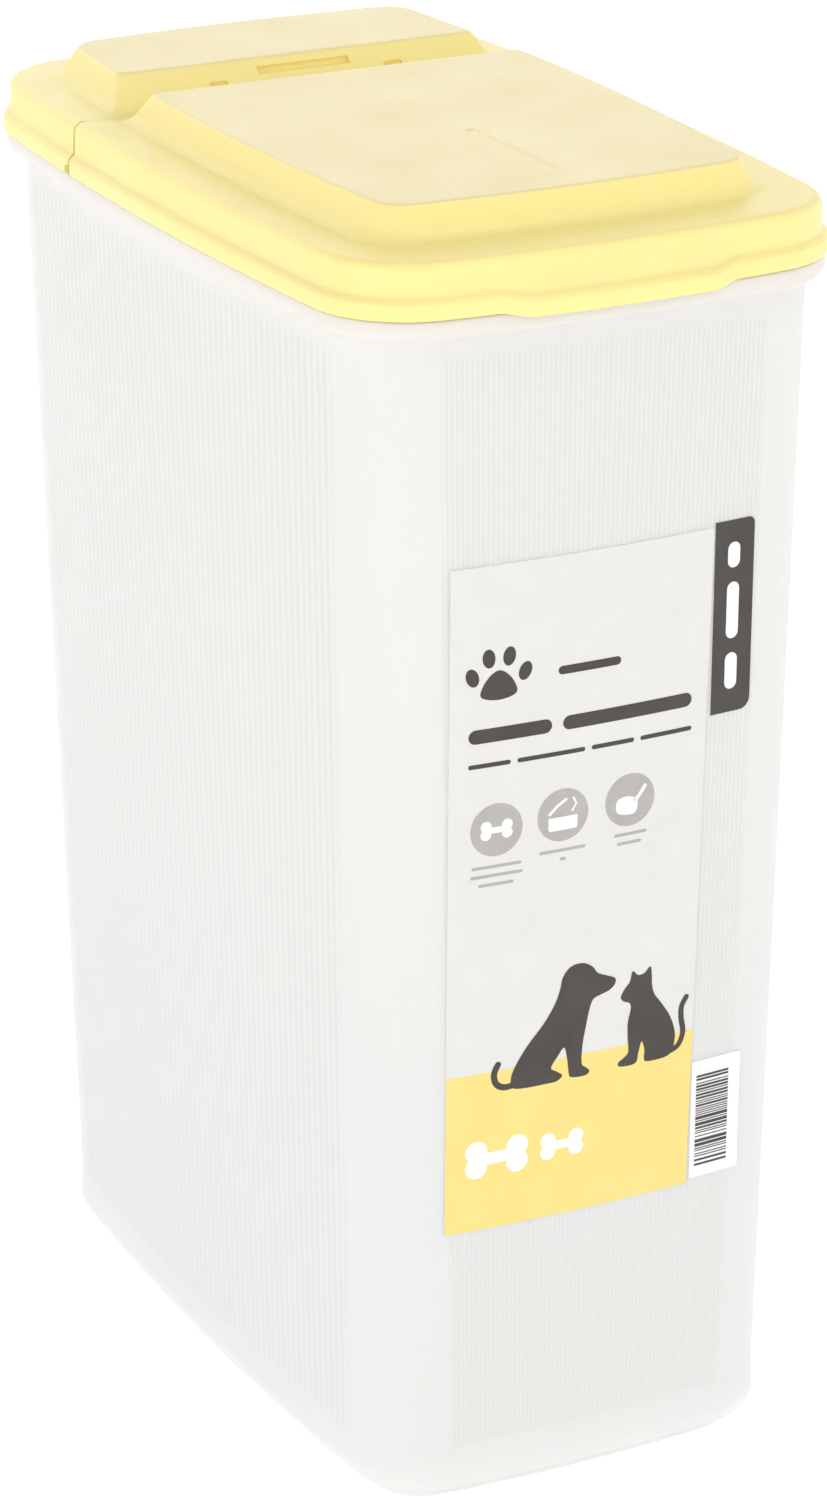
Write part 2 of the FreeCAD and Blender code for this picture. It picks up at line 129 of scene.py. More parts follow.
def smooth(share):
    """A soft step from 0 to 1."""
    share = min(max(share, 0.0), 1.0)
    return share * share * (3 - 2 * share)


# ---------------------------------------------------------------- mesh making

def finish_mesh(name, mesh, material, body, replaced=(), sharp_deg=35):
    """Turn a bmesh in millimetres into a shaded piece in metres that rides on a body."""
    bmesh.ops.recalc_face_normals(mesh, faces=mesh.faces)
    data = bpy.data.meshes.new(name)
    mesh.to_mesh(data)
    mesh.free()
    data.transform(Matrix.Scale(MM, 4))
    data.materials.append(material)
    for polygon in data.polygons:
        polygon.use_smooth = True
    piece = bpy.data.objects.new(name, data)
    bpy.context.scene.collection.objects.link(piece)
    data.set_sharp_from_angle(angle=math.radians(sharp_deg))
    if body:
        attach(piece, body)
    if replaced:
        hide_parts(*replaced)
    return piece


def add_loop(mesh, points, height):
    """Vertices of one loop; height is a number or a function of the point."""
    return [mesh.verts.new((x, y, height(x, y) if callable(height) else height))
            for x, y in points]


def join_loops(mesh, first, last, closed=True):
    """Quads between two loops with the same number of vertices."""
    count = len(first)
    for i in range(count if closed else count - 1):
        j = (i + 1) % count
        mesh.faces.new((first[i], first[j], last[j], last[i]))


def shrink(points, centre, share):
    """The same loop scaled towards a centre."""
    return [(centre[0] + (x - centre[0]) * share, centre[1] + (y - centre[1]) * share)
            for x, y in points]


def cap(mesh, loop, points, height, centre=(0.0, 0.0), shares=(0.92, 0.75, 0.5, 0.25)):
    """Close a loop with smaller loops and one face in the middle."""
    for share in shares:
        inner = add_loop(mesh, shrink(points, centre, share), height)
        join_loops(mesh, loop, inner)
        loop = inner
    mesh.faces.new(loop)


# ---------------------------------------------------------------- tub

SIDE_LENGTH, END_LENGTH = 124.0, 64.0
RIB_STEPS = 4
SIDE_POINTS = round(SIDE_LENGTH / SIDE_RIB_PITCH) * RIB_STEPS
END_POINTS = round(END_LENGTH / END_RIB_PITCH) * RIB_STEPS
CORNER_POINTS = 16


def ribbed_arc(centre_x, centre_y, radius, first, last, count, depth):
    """An arc whose points wave outward by depth, once every RIB_STEPS points."""
    step = (last - first) / count
    points = []
    for i in range(count):
        near_end = min(i, count - i) / RIB_STEPS
        wave = 0.5 - 0.5 * math.cos(2 * math.pi * i / RIB_STEPS)
        reach = radius + depth * wave * smooth(near_end)
        turn = first + step * i
        points.append((centre_x + reach * math.cos(turn), centre_y + reach * math.sin(turn)))
    return points


def rib_crests():
    """How far up a rib each point of the tub's outline lies, 0 in the troughs and corners."""
    def arc(count):
        return [(0.5 - 0.5 * math.cos(2 * math.pi * i / RIB_STEPS))
                * smooth(min(i, count - i) / RIB_STEPS) for i in range(count)]

    corner = [0.0] * CORNER_POINTS
    return (arc(SIDE_POINTS) + corner + arc(END_POINTS) + corner) * 2


def tub_outline(taper, reach, rib=0.0):
    """The tub's bowed outline. taper is 0 at the base and 1 at the mouth."""
    half_x = MOUTH_X - DRAFT_X * (1 - taper) + reach
    half_y = MOUTH_Y - DRAFT_Y * (1 - taper) + reach
    side, end, corner = SIDE_BOW + reach, END_BOW + reach, CORNER + reach
    cx, cy, side_turn, end_turn = corner_turns(half_x, half_y, side, end, corner)
    side_x, end_y = half_x - side, half_y - end
    quarter = math.pi / 2
    points = ribbed_arc(side_x, 0, side, -side_turn, side_turn, SIDE_POINTS, rib)
    points += turn_points(cx, cy, corner, side_turn, end_turn, CORNER_POINTS)
    points += ribbed_arc(0, end_y, end, end_turn, 2 * quarter - end_turn, END_POINTS, rib)
    points += turn_points(-cx, cy, corner, 2 * quarter - end_turn, 2 * quarter - side_turn,
                          CORNER_POINTS)
    points += ribbed_arc(-side_x, 0, side, 2 * quarter - side_turn, 2 * quarter + side_turn,
                         SIDE_POINTS, rib)
    points += turn_points(-cx, -cy, corner, 2 * quarter + side_turn, 2 * quarter + end_turn,
                          CORNER_POINTS)
    points += ribbed_arc(0, -end_y, end, 2 * quarter + end_turn, 4 * quarter - end_turn,
                         END_POINTS, rib)
    points += turn_points(cx, -cy, corner, -end_turn, -side_turn, CORNER_POINTS)
    return points


def fillet_profile(centre_reach, centre_height, radius, first_deg, last_deg, steps):
    """(reach, height) pairs along a round edge seen in section, both ends included."""
    pairs = []
    for i in range(steps + 1):
        turn = math.radians(blend_value(first_deg, last_deg, i / steps))
        pairs.append((centre_reach + radius * math.cos(turn),
                      centre_height + radius * math.sin(turn)))
    return pairs


def outer_taper(height):
    return min(max((height - WALL_LOW) / (WALL_TOP - WALL_LOW), 0), 1)


def inner_taper(height):
    return min(max((height - FLOOR_TOP) / (NECK_TOP - FLOOR_TOP), 0), 1)


def tub_outer_profile():
    """The outside of the tub in section, from under the floor to the top of the neck."""
    foot_out, foot_in, edge = -4.2, -6.8, 0.5
    profile = [(foot_in - 1.2, FOOT_HEIGHT)]
    profile += fillet_profile(foot_in - 0.7, FOOT_HEIGHT - 0.7, 0.7, 90, 0, 3)
    profile += fillet_profile(foot_in + 0.15 + edge, edge, edge, 180, 270, 4)
    profile += fillet_profile(foot_out - 0.3 - edge, edge, edge, 270, 360, 4)
    profile += fillet_profile(foot_out + 0.6, FOOT_HEIGHT - 0.6, 0.6, 180, 90, 3)[:-1]
    profile += fillet_profile(-BASE_ROUND + 0.35, WALL_LOW, BASE_ROUND, 270, 360, 7)
    profile += [(0.0, z) for z in reversed(rib_heights())]
    profile += [(0.0, WALL_TOP - 0.8), (0.12, WALL_TOP - 0.25), (0.55, WALL_TOP + 0.25),
                (RIM_REACH - 0.9, RIM_LOW - 0.7), (RIM_REACH - 0.35, RIM_LOW - 0.2)]
    profile += [(RIM_REACH, RIM_LOW + 0.4), (RIM_REACH, RIM_HIGH - 0.6)]
    profile += fillet_profile(RIM_REACH - 0.5, RIM_HIGH - 0.5, 0.5, 0, 90, 4)[1:]
    profile += fillet_profile(0.4 + 0.5, RIM_HIGH + 0.5, 0.5, 270, 180, 3)
    bead = NECK_TOP - 3.8
    profile += [(0.4, bead - 1.0), (1.0, bead - 0.75), (1.55, bead - 0.4), (1.8, bead),
                (1.55, bead + 0.4), (1.0, bead + 0.75), (0.4, bead + 1.0)]
    profile += fillet_profile(-0.1, NECK_TOP - 0.5, 0.5, 0, 90, 4)
    return profile


RIB_LOW, RIB_HIGH, RIB_FADE = FLOOR_TOP + 6, WALL_TOP - 1.5, 2.5


def rib_strength(height):
    """1 where the ribs stand at full height, 0 above and below them."""
    return smooth(min(RIB_HIGH - height, height - RIB_LOW) / RIB_FADE)


def rib_heights(rows=3):
    """Heights of the wall's loops from the ribs' top down to their foot."""
    heights = [RIB_HIGH, RIB_HIGH - RIB_FADE / 2]
    heights += [blend_value(RIB_HIGH - RIB_FADE, RIB_LOW + RIB_FADE, i / rows)
                for i in range(rows + 1)]
    return heights + [RIB_LOW + RIB_FADE / 2, RIB_LOW]


def make_tub(material):
    """Translucent tub with fine upright ribs on the inside of the walls, showing outside."""
    mesh = bmesh.new()
    loops = [(tub_outline(outer_taper(z), reach, RIB_RELIEF * rib_strength(z)), z)
             for reach, z in tub_outer_profile()]
    inner = fillet_profile(-WALL + 0.5, NECK_TOP - 0.5, 0.5, 90, 180, 4)
    inner += [(-WALL, z) for z in [NECK_TOP - 4] + rib_heights()]
    inner += fillet_profile(-WALL - 3, FLOOR_TOP + 3, 3, 360, 270, 5)
    loops += [(tub_outline(inner_taper(z), reach, RIB_DEPTH * rib_strength(z)), z)
              for reach, z in inner]
    rows = [add_loop(mesh, points, z) for points, z in loops]
    for first, last in zip(rows, rows[1:]):
        join_loops(mesh, first, last)
    cap(mesh, rows[0], loops[0][0], loops[0][1])
    cap(mesh, rows[-1], loops[-1][0], loops[-1][1])
    piece = finish_mesh("tub", mesh, material, "tub", ["container_body"])
    # Each vertex stores how far up a rib it lies; the tub material uses it to paint the rib crests
    # darker, a painted shade standing in for the ribs' shading seen through the wall.
    crests = []
    for _, z in loops:
        crests += [rib_strength(z) * rib_shade_mask for rib_shade_mask in rib_crests()]
    crests += [0.0] * (len(piece.data.vertices) - len(crests))    # the vertices of the two caps
    rib_shade_amount = piece.data.attributes.new("rib", "FLOAT", "POINT")
    rib_shade_amount.data.foreach_set("value", crests)
    return piece


# ---------------------------------------------------------------- lid

REAR_LINE_POINTS, REAR_CORNER_POINTS, LID_SIDE_POINTS = 24, 6, 26
LID_CORNER_POINTS, LID_END_POINTS = 14, 44


def lid_outline(half_u, half_v, side_radius, end_radius, corner, rear, rear_round, closed):
    """Outline of one lid section: u is across and v points away from the hinge.

    It runs from the hinge side round the bowed end and back. A closed one has round corners at
    its straight rear line; an open one only ends there.
    """
    cu, cv, side_turn, end_turn = corner_turns(half_u, half_v, side_radius, end_radius, corner)
    side_u, end_v = half_u - side_radius, half_v - end_radius
    rear_v = rear + rear_round
    rear_u = side_u + math.sqrt((side_radius - rear_round) ** 2 - rear_v ** 2)
    start = math.atan2(rear_v, rear_u - side_u)
    if closed:
        right = turn_points(rear_u, rear_v, rear_round, -math.pi / 2, start, REAR_CORNER_POINTS)
    else:
        right = turn_points(side_u, 0, side_radius, math.asin(rear / side_radius), start,
                            REAR_CORNER_POINTS)
    right += turn_points(side_u, 0, side_radius, start, side_turn, LID_SIDE_POINTS)
    right += turn_points(cu, cv, corner, side_turn, end_turn, LID_CORNER_POINTS)
    right += turn_points(0, end_v, end_radius, end_turn, math.pi / 2, LID_END_POINTS)
    points = right + [(0.0, half_v)] + [(-u, v) for u, v in reversed(right)]
    if closed:
        first_u = points[0][0]
        for i in range(1, REAR_LINE_POINTS):
            points.append((blend_value(-first_u, first_u, i / REAR_LINE_POINTS), rear))
    return points


def cap_outline(reach, rear, closed=False):
    """The lid's skirt outline, reach outside the tub's mouth."""
    return lid_outline(MOUTH_X + reach, MOUTH_Y + reach, SIDE_BOW + reach, END_BOW + reach,
                       CORNER + reach, rear, 1.2, closed)


class Section:
    """The sizes that differ between the flap and the rear section of the lid."""

    def __init__(self, block, block_top, rear, rear_top, slit):
        self.block, self.block_top = block, block_top
        self.rear, self.rear_top = rear, rear_top
        self.slit = slit

    def outline(self, height, grow, rear_grow, inner=0.0):
        """The raised block's outline at a height, grown outward, or inner inside its skin."""
        share = (height - SHOULDER_TOP) / (BLOCK_TOP - SHOULDER_TOP)
        grow -= inner
        rear_round = max(blend_value(1.2, 1.8, share) + rear_grow - inner, 0.3)
        return lid_outline(
            blend_value(BLOCK_X, BLOCK_X_TOP, share) + grow,
            blend_value(self.block, self.block_top, share) + grow,
            blend_value(SIDE_BOW, BLOCK_BOW_TOP, share) + grow, END_BOW + grow,
            max(blend_value(7.5, 5.5, share) + grow, 1.0),
            blend_value(self.rear, self.rear_top, share) - rear_grow + inner, rear_round, True)


FLAP = Section(FLAP_BLOCK, FLAP_BLOCK_TOP, -GROOVE_FRONT, -GROOVE_FRONT_TOP, -flap_high.y)
REAR = Section(REAR_BLOCK, REAR_BLOCK_TOP, GROOVE_REAR, GROOVE_REAR_TOP, rear_low.y)

COVE, TOP_ROUND = 2.6, 0.9
REAR_COVE_SHARE = 0.1
WALL_SLOPE = 0.31                       # how far a block's wall leans in for each mm of height
TAB_HALF, TAB_ROOT_HALF = 16.2, 21.8
TAB_PUSH = -flap_low.y - (MOUTH_Y + LIP_REACH)
TAB_DROP = LIP_LOW - flap_low.z


def tab_shape(points, height, weight):
    """Push the middle of the front out and down into the thumb tab; weight is 0 to 1."""
    shaped, heights = [], []
    for u, v in points:
        share = smooth((TAB_ROOT_HALF - abs(u)) / (TAB_ROOT_HALF - TAB_HALF)) if v > 0 else 0
        shaped.append((u, v + TAB_PUSH * share * weight))
        heights.append(height - TAB_DROP * share * weight ** 2)
    return shaped, heights


def skirt_profile():
    """The outside of the skirt in section, from the lip's foot to the top of the shoulder."""
    profile = fillet_profile(LIP_REACH - 0.35, LIP_LOW + 0.35, 0.35, 270, 360, 3)
    profile += fillet_profile(LIP_REACH - 0.6, LIP_HIGH - 0.9, 0.6, 0, 60, 5)
    profile += fillet_profile(SKIRT_REACH + 0.62, LIP_HIGH + 0.75, 0.75, 255, 180, 4)
    shoulder = 1.7
    profile += fillet_profile(SKIRT_REACH - 0.25 - shoulder, SHOULDER_TOP - shoulder, shoulder,
                              4, 90, 9)
    return profile


def hollow_profile():
    """The inside of the skirt in section, from the lip's foot to under the shoulder."""
    lip, skirt = LIP_REACH - LID_WALL, SKIRT_REACH - LID_WALL
    under = SHOULDER_TOP - LID_WALL
    profile = fillet_profile(lip + 0.3, LIP_LOW + 0.3, 0.3, 270, 180, 3)
    profile += [(lip, LIP_HIGH - 0.2), (lip - 0.35, LIP_HIGH + 0.4), (skirt, LIP_HIGH + 0.9)]
    profile += fillet_profile(skirt - 0.8, under - 0.8, 0.8, 0, 90, 4)
    return profile


def block_profile(section):
    """(outline, height) of the raised block from the cove at its foot to its flat top."""
    rows = []
    centre = COVE * (math.hypot(1, WALL_SLOPE) - WALL_SLOPE)
    lean = math.degrees(math.atan(WALL_SLOPE))
    for offset, height in fillet_profile(centre, SHOULDER_TOP + COVE, COVE, 270, 180 + lean, 8):
        wall_here = -WALL_SLOPE * (height - SHOULDER_TOP)
        grow = max(offset - wall_here, 0.0)
        rows.append((section.outline(height, grow, grow * REAR_COVE_SHARE), height))
    inset = TOP_ROUND * (math.hypot(1, WALL_SLOPE) - WALL_SLOPE)
    for offset, height in fillet_profile(-inset, BLOCK_TOP - TOP_ROUND, TOP_ROUND, lean, 90, 6):
        wall_here = WALL_SLOPE * (BLOCK_TOP - height)
        grow = offset - wall_here
        rows.append((section.outline(height, grow, grow), height))
    return rows


def make_shell(name, section, along, with_tab, material, body, node, tools):
    """One lid section as a closed shell: outside, hollow underside and the cut at the slit.

    along is -1 for the flap, whose v points to the front, and 1 for the rear section.
    """
    mesh = bmesh.new()

    def place(points, height, weight=0.0):
        heights = [height] * len(points)
        if with_tab and weight:
            points, heights = tab_shape(points, height, weight)
        return [mesh.verts.new((u, along * v, z)) for (u, v), z in zip(points, heights)]

    def tab_weight(height):
        return 1 - smooth((height - LIP_HIGH + 1.2) / (SHOULDER_TOP - 1.0 - LIP_HIGH + 1.2))

    def sheet(profile, rim_height, block_rows):
        rows = [place(cap_outline(reach, section.slit), z, tab_weight(z)) for reach, z in profile]
        for first, last in zip(rows, rows[1:]):
            join_loops(mesh, first, last, closed=False)
        # the last skirt row becomes a closed loop by adding the straight line at the slit
        edge = rows[-1]
        ends = edge[0].co.x
        line = [mesh.verts.new((blend_value(-ends, ends, i / REAR_LINE_POINTS),
                                along * section.slit, rim_height))
                for i in range(1, REAR_LINE_POINTS)]
        loop = edge + line
        for points, height in block_rows:
            inner = place(points, height)
            join_loops(mesh, loop, inner)
            loop = inner
        points, height = block_rows[-1]
        middle = (0.0, (section.block_top + section.rear_top) / 2)
        for share in (0.93, 0.8, 0.6, 0.4, 0.2):
            inner = place(shrink(points, middle, share), height)
            join_loops(mesh, loop, inner)
            loop = inner
        mesh.faces.new(loop)
        return rows[0]

    under = SHOULDER_TOP - LID_WALL
    outside = sheet(skirt_profile(), SHOULDER_TOP, block_profile(section))
    hollow_rows = [(section.outline(SHOULDER_TOP, 0.6, 0.0, LID_WALL), under),
                   (section.outline(SHOULDER_TOP + 0.6, 0.0, 0.0, LID_WALL), under + 0.6),
                   (section.outline(BLOCK_TOP - 0.8, 0.0, 0.0, LID_WALL), BLOCK_TOP - LID_WALL - 0.8),
                   (section.outline(BLOCK_TOP, 0.0, 0.0, LID_WALL + 0.8), BLOCK_TOP - LID_WALL)]
    inside = sheet(hollow_profile(), under, hollow_rows)
    join_loops(mesh, outside, inside, closed=False)
    open_edges = [edge for edge in mesh.edges if edge.is_boundary]
    bmesh.ops.holes_fill(mesh, edges=open_edges, sides=0)
    piece = finish_mesh(name, mesh, material, None)
    cut_away(piece, tools)
    piece.data.set_sharp_from_angle(angle=math.radians(35))
    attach(piece, body)
    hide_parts(node)
    return piece


def cut_away(piece, tools):
    """Subtract closed tool shapes from a piece and drop the tools."""
    for tool in tools:
        modifier = piece.modifiers.new("cut", "BOOLEAN")
        modifier.operation = "DIFFERENCE"
        modifier.solver = "EXACT"
        modifier.object = tool
        bpy.context.view_layer.update()
        depsgraph = bpy.context.evaluated_depsgraph_get()
        result = bpy.data.meshes.new_from_object(piece.evaluated_get(depsgraph))
        piece.modifiers.clear()
        piece.data = result
        bpy.data.objects.remove(tool)
    for polygon in piece.data.polygons:
        polygon.use_smooth = True


def rounded_tool(name, low, high, radius, axis, steps=5):
    """A closed box with round edges along one axis, used only to cut with."""
    mesh = bmesh.new()
    a, b = [i for i in range(3) if i != axis]
    corners = [(high[a] - radius, high[b] - radius, 0), (low[a] + radius, high[b] - radius, 90),
               (low[a] + radius, low[b] + radius, 180), (high[a] - radius, low[b] + radius, 270)]
    outline = []
    for ca, cb, first in corners:
        for i in range(steps + 1):
            turn = math.radians(first + 90 * i / steps)
            outline.append((ca + radius * math.cos(turn), cb + radius * math.sin(turn)))
    rings = []
    for level in (low[axis], high[axis]):
        ring = []
        for pa, pb in outline:
            spot = [0.0, 0.0, 0.0]
            spot[axis], spot[a], spot[b] = level, pa, pb
            ring.append(mesh.verts.new(spot))
        rings.append(ring)
    join_loops(mesh, *rings)
    mesh.faces.new(rings[0])
    mesh.faces.new(rings[1])
    bmesh.ops.recalc_face_normals(mesh, faces=mesh.faces)
    data = bpy.data.meshes.new(name)
    mesh.to_mesh(data)
    mesh.free()
    data.transform(Matrix.Scale(MM, 4))
    tool = bpy.data.objects.new(name, data)
    bpy.context.scene.collection.objects.link(tool)
    return tool


def notch_tools(name):
    """The wider gap at the foot of the slit, one on each side of the lid."""
    middle = (flap_high.y + rear_low.y) / 2
    reach = MOUTH_X + LIP_REACH
    low_z, high_z = LIP_LOW - 1.5, LIP_LOW + 1.7
    return [rounded_tool(f"{name}_{side}", (side * reach - 4, middle - 0.9, low_z),
                         (side * reach + 4, middle + 2.0, high_z), 0.8, 0) for side in (-1, 1)]


def top_line_tool():
    """A long shallow groove along the middle of the flap's top."""
    middle, radius, depth = 1.15, 4.0, 0.16
    return rounded_tool("top_line_cut", (middle - radius, -54.0, BLOCK_TOP - depth),
                        (middle + radius, -24.0, BLOCK_TOP + 2 * radius), radius, 1, 30)


def rear_wall_tools():
    """The catch recess and the two slots in the wall of the groove's rear side."""
    slope = (GROOVE_REAR_TOP - GROOVE_REAR) / (BLOCK_TOP - SHOULDER_TOP)
    face = GROOVE_REAR + slope * (CATCH_PLACE - SHOULDER_TOP)
    tools = [rounded_tool("catch_cut", (-CATCH_HALF, face - 4, CATCH_PLACE - CATCH_HALF_HEIGHT),
                          (CATCH_HALF, face + CATCH_DEPTH, CATCH_PLACE + CATCH_HALF_HEIGHT), 0.3, 0)]
    for side in (-1, 1):
        middle = side * SLOT_PLACE
        tools.append(rounded_tool(f"slot_cut_{side}", (middle - SLOT_HALF, GROOVE_REAR - 1, SLOT_LOW),
                                  (middle + SLOT_HALF, SLOT_BACK, SLOT_HIGH), 0.4, 1))
    return tools


def make_tongue(material):
    """The small ridge on the flap's rear wall that meets the catch when the flap is open."""
    mesh = bmesh.new()
    tip_y, tip_z, length, half, half_width = 26.45, 229.3, 2.6, 0.45, 8.0
    lean = math.radians(56)
    ahead, rise = math.cos(lean), math.sin(lean)
    section = []
    for turn_deg in range(-90, 91, 30):
        turn = math.radians(turn_deg) + lean
        section.append((tip_y - half * ahead + half * math.cos(turn),
                        tip_z - half * rise + half * math.sin(turn)))
    back_y, back_z = tip_y - length * ahead, tip_z - length * rise
    section.append((back_y - half * rise, back_z + half * ahead))
    section.append((back_y + half * rise, back_z - half * ahead))
    rows = []
    for x in (-half_width, -half_width + 0.4, half_width - 0.4, half_width):
        rows.append([mesh.verts.new((x, y, z)) for y, z in section])
    for first, last in zip(rows, rows[1:]):
        join_loops(mesh, first, last)
    mesh.faces.new(rows[0])
    mesh.faces.new(rows[-1])
    return finish_mesh("flap_tongue", mesh, material, "flap")


def make_web(material):
    """The thin web of the living hinge, where the real lid bends between its two sections; this mesh is
    one still piece.
    """
    mesh = bmesh.new()
    half, steps = web_high.x, 12
    top, bottom = [], []
    for i in range(steps + 1):
        y = blend_value(web_low.y, web_high.y, i / steps)
        sink = 0.04 * math.sin(math.pi * i / steps)
        top.append([mesh.verts.new((x, y, web_high.z - sink)) for x in (-half, 0, half)])
        bottom.append([mesh.verts.new((x, y, web_low.z + 0.5 * sink)) for x in (-half, 0, half)])
    for rows in (top, bottom):
        for first, last in zip(rows, rows[1:]):
            join_loops(mesh, first, last, closed=False)
    for i in (0, -1):
        join_loops(mesh, top[i], bottom[i], closed=False)
    for k in (0, -1):
        join_loops(mesh, [row[k] for row in top], [row[k] for row in bottom], closed=False)
    web = finish_mesh("hinge_web", mesh, material, None)
    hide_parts("living_hinge")
    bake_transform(web)
    return web


# ---------------------------------------------------------------- print on the front wall

FILM = 0.15


def wall_point(x, z, lift):
    """The front wall's skin at x and z, lifted outward."""
    taper = outer_taper(z)
    half_y = MOUTH_Y - DRAFT_Y * (1 - taper) + lift
    radius = END_BOW + lift
    return (x, -(half_y - radius + math.sqrt(radius ** 2 - x * x)), z)


def wrap_outlines(outlines, lift, thick=0.0, step=1.5):
    """Flat closed outlines in x and z, filled, cut in strips and laid on the front wall."""
    mesh = bmesh.new()
    for outline in outlines:
        verts = [mesh.verts.new((x, 0, z)) for x, z in outline]
        face = mesh.faces.new(verts)
        face.normal_update()
        bmesh.ops.triangulate(mesh, faces=[face])
    low = min(x for outline in outlines for x, z in outline)
    high = max(x for outline in outlines for x, z in outline)
    place = math.ceil(low / step) * step
    while place < high:
        if place > low:
            bmesh.ops.bisect_plane(mesh, geom=mesh.verts[:] + mesh.edges[:] + mesh.faces[:],
                                   plane_co=(place, 0, 0), plane_no=(1, 0, 0))
        place += step
    if thick:
        made = bmesh.ops.extrude_face_region(mesh, geom=mesh.faces[:])
        raised = {item for item in made["geom"] if isinstance(item, bmesh.types.BMVert)}
    else:
        raised = set(mesh.verts)
    for vert in mesh.verts:
        vert.co = wall_point(vert.co.x, vert.co.z, lift + (thick if vert in raised else 0))
    return mesh


def circle(cx, cz, radius, count=40):
    return [(cx + radius * math.cos(2 * math.pi * i / count),
             cz + radius * math.sin(2 * math.pi * i / count)) for i in range(count)]


def rounded_box(x0, z0, x1, z1, radii, steps=6):
    """A box outline with its own radius at each corner, from lower left anticlockwise."""
    corners = [(x0, z0, 1, 1, 180), (x1, z0, -1, 1, 270), (x1, z1, -1, -1, 0), (x0, z1, 1, -1, 90)]
    points = []
    for (x, z, sx, sz, first), radius in zip(corners, radii):
        if radius <= 0:
            points.append((x, z))
            continue
        for i in range(steps + 1):
            turn = math.radians(first + 90 * i / steps)
            points.append((x + sx * radius + radius * math.cos(turn),
                           z + sz * radius + radius * math.sin(turn)))
    return points


def bar(x0, x1, z, height):
    """A text line stood in for by a plain bar with round ends."""
    r = height / 2
    return rounded_box(x0, z - r, x1, z + r, (r, r, r, r), 5)


def ribbon(points, width):
    """Outline of a line of a given width through points, with round ends and soft bends."""
    half = width / 2
    left, right = [], []
    for i, (x, z) in enumerate(points):
        before = points[max(i - 1, 0)]
        after = points[min(i + 1, len(points) - 1)]
        dx, dz = after[0] - before[0], after[1] - before[1]
        length = math.hypot(dx, dz)
        nx, nz = -dz / length * half, dx / length * half
        left.append((x + nx, z + nz))
        right.append((x - nx, z - nz))

    def end(point, towards):
        px, pz = point
        first = math.atan2(towards[1], towards[0])
        return [(px + half * math.cos(first - a), pz + half * math.sin(first - a))
                for a in [math.pi * k / 6 for k in range(1, 6)]]

    head = end(points[-1], (left[-1][0] - points[-1][0], left[-1][1] - points[-1][1]))
    tail = end(points[0], (right[0][0] - points[0][0], right[0][1] - points[0][1]))
    return left + head + right[::-1] + tail


def spline(points, closed=True, steps=8):
    """A smooth Catmull-Rom curve through a few given points."""
    count = len(points)
    curve = []
    spans = count if closed else count - 1
    for i in range(spans):
        if closed:
            p = [points[(i + k) % count] for k in (-1, 0, 1, 2)]
        else:
            p = [points[min(max(i + k, 0), count - 1)] for k in (-1, 0, 1, 2)]
        for s in range(steps):
            t = s / steps
            curve.append(tuple(
                0.5 * (2 * p[1][c] + (p[2][c] - p[0][c]) * t
                       + (2 * p[0][c] - 5 * p[1][c] + 4 * p[2][c] - p[3][c]) * t * t
                       + (3 * p[1][c] - p[0][c] - 3 * p[2][c] + p[3][c]) * t ** 3)
                for c in (0, 1)))
    if not closed:
        curve.append(points[-1])
    return curve


LABEL_X0, LABEL_X1, LABEL_X1_TOP = label_low.x, 18.4, 20.4
LABEL_Z0, LABEL_Z1 = 53.0, 172.6
PANEL_TOP = 82.3
STRIP = (20.6, 139.4, 28.4, 173.4)


def label_edge(z):
    """The label's right edge leans out a little towards the top."""
    return blend_value(LABEL_X1, LABEL_X1_TOP, (z - LABEL_Z0) / (LABEL_Z1 - LABEL_Z0))


def paw(cx, cz, size):
    """A plain paw mark: one pad and four toes."""
    pad = spline([(cx - 0.42 * size, cz - 0.3 * size), (cx, cz - 0.42 * size),
                  (cx + 0.42 * size, cz - 0.3 * size), (cx + 0.3 * size, cz + 0.05 * size),
                  (cx, cz + 0.26 * size), (cx - 0.3 * size, cz + 0.05 * size)])
    toes = []
    for offset, rise, tilt in ((-0.62, 0.16, 0.35), (-0.24, 0.55, 0.12),
                               (0.24, 0.55, -0.12), (0.62, 0.16, -0.35)):
        toe = []
        for i in range(18):
            turn = 2 * math.pi * i / 18
            a, b = 0.15 * size * math.cos(turn), 0.22 * size * math.sin(turn)
            toe.append((cx + offset * size + a * math.cos(tilt) - b * math.sin(tilt),
                        cz + rise * size + a * math.sin(tilt) + b * math.cos(tilt)))
        toes.append(toe)
    return [pad] + toes


def bone(cx, cz, length, width):
    """A plain biscuit bone: a shaft with two round lobes at each end."""
    lobe = 0.29 * width
    lobe_x, lobe_z = length / 2 - lobe, width / 2 - lobe
    first = 180 + math.degrees(math.asin((lobe_z - 0.16 * width) / lobe))
    last = -math.degrees(math.asin(lobe_z / lobe))
    arc = fillet_profile(lobe_x, lobe_z, lobe, first, last, 14)
    right = arc + [(x, -z) for x, z in reversed(arc[:-1])]
    left = [(-x, -z) for x, z in arc] + [(-x, z) for x, z in reversed(arc[:-1])]
    return [[(cx + x, cz + z) for x, z in right + left]]


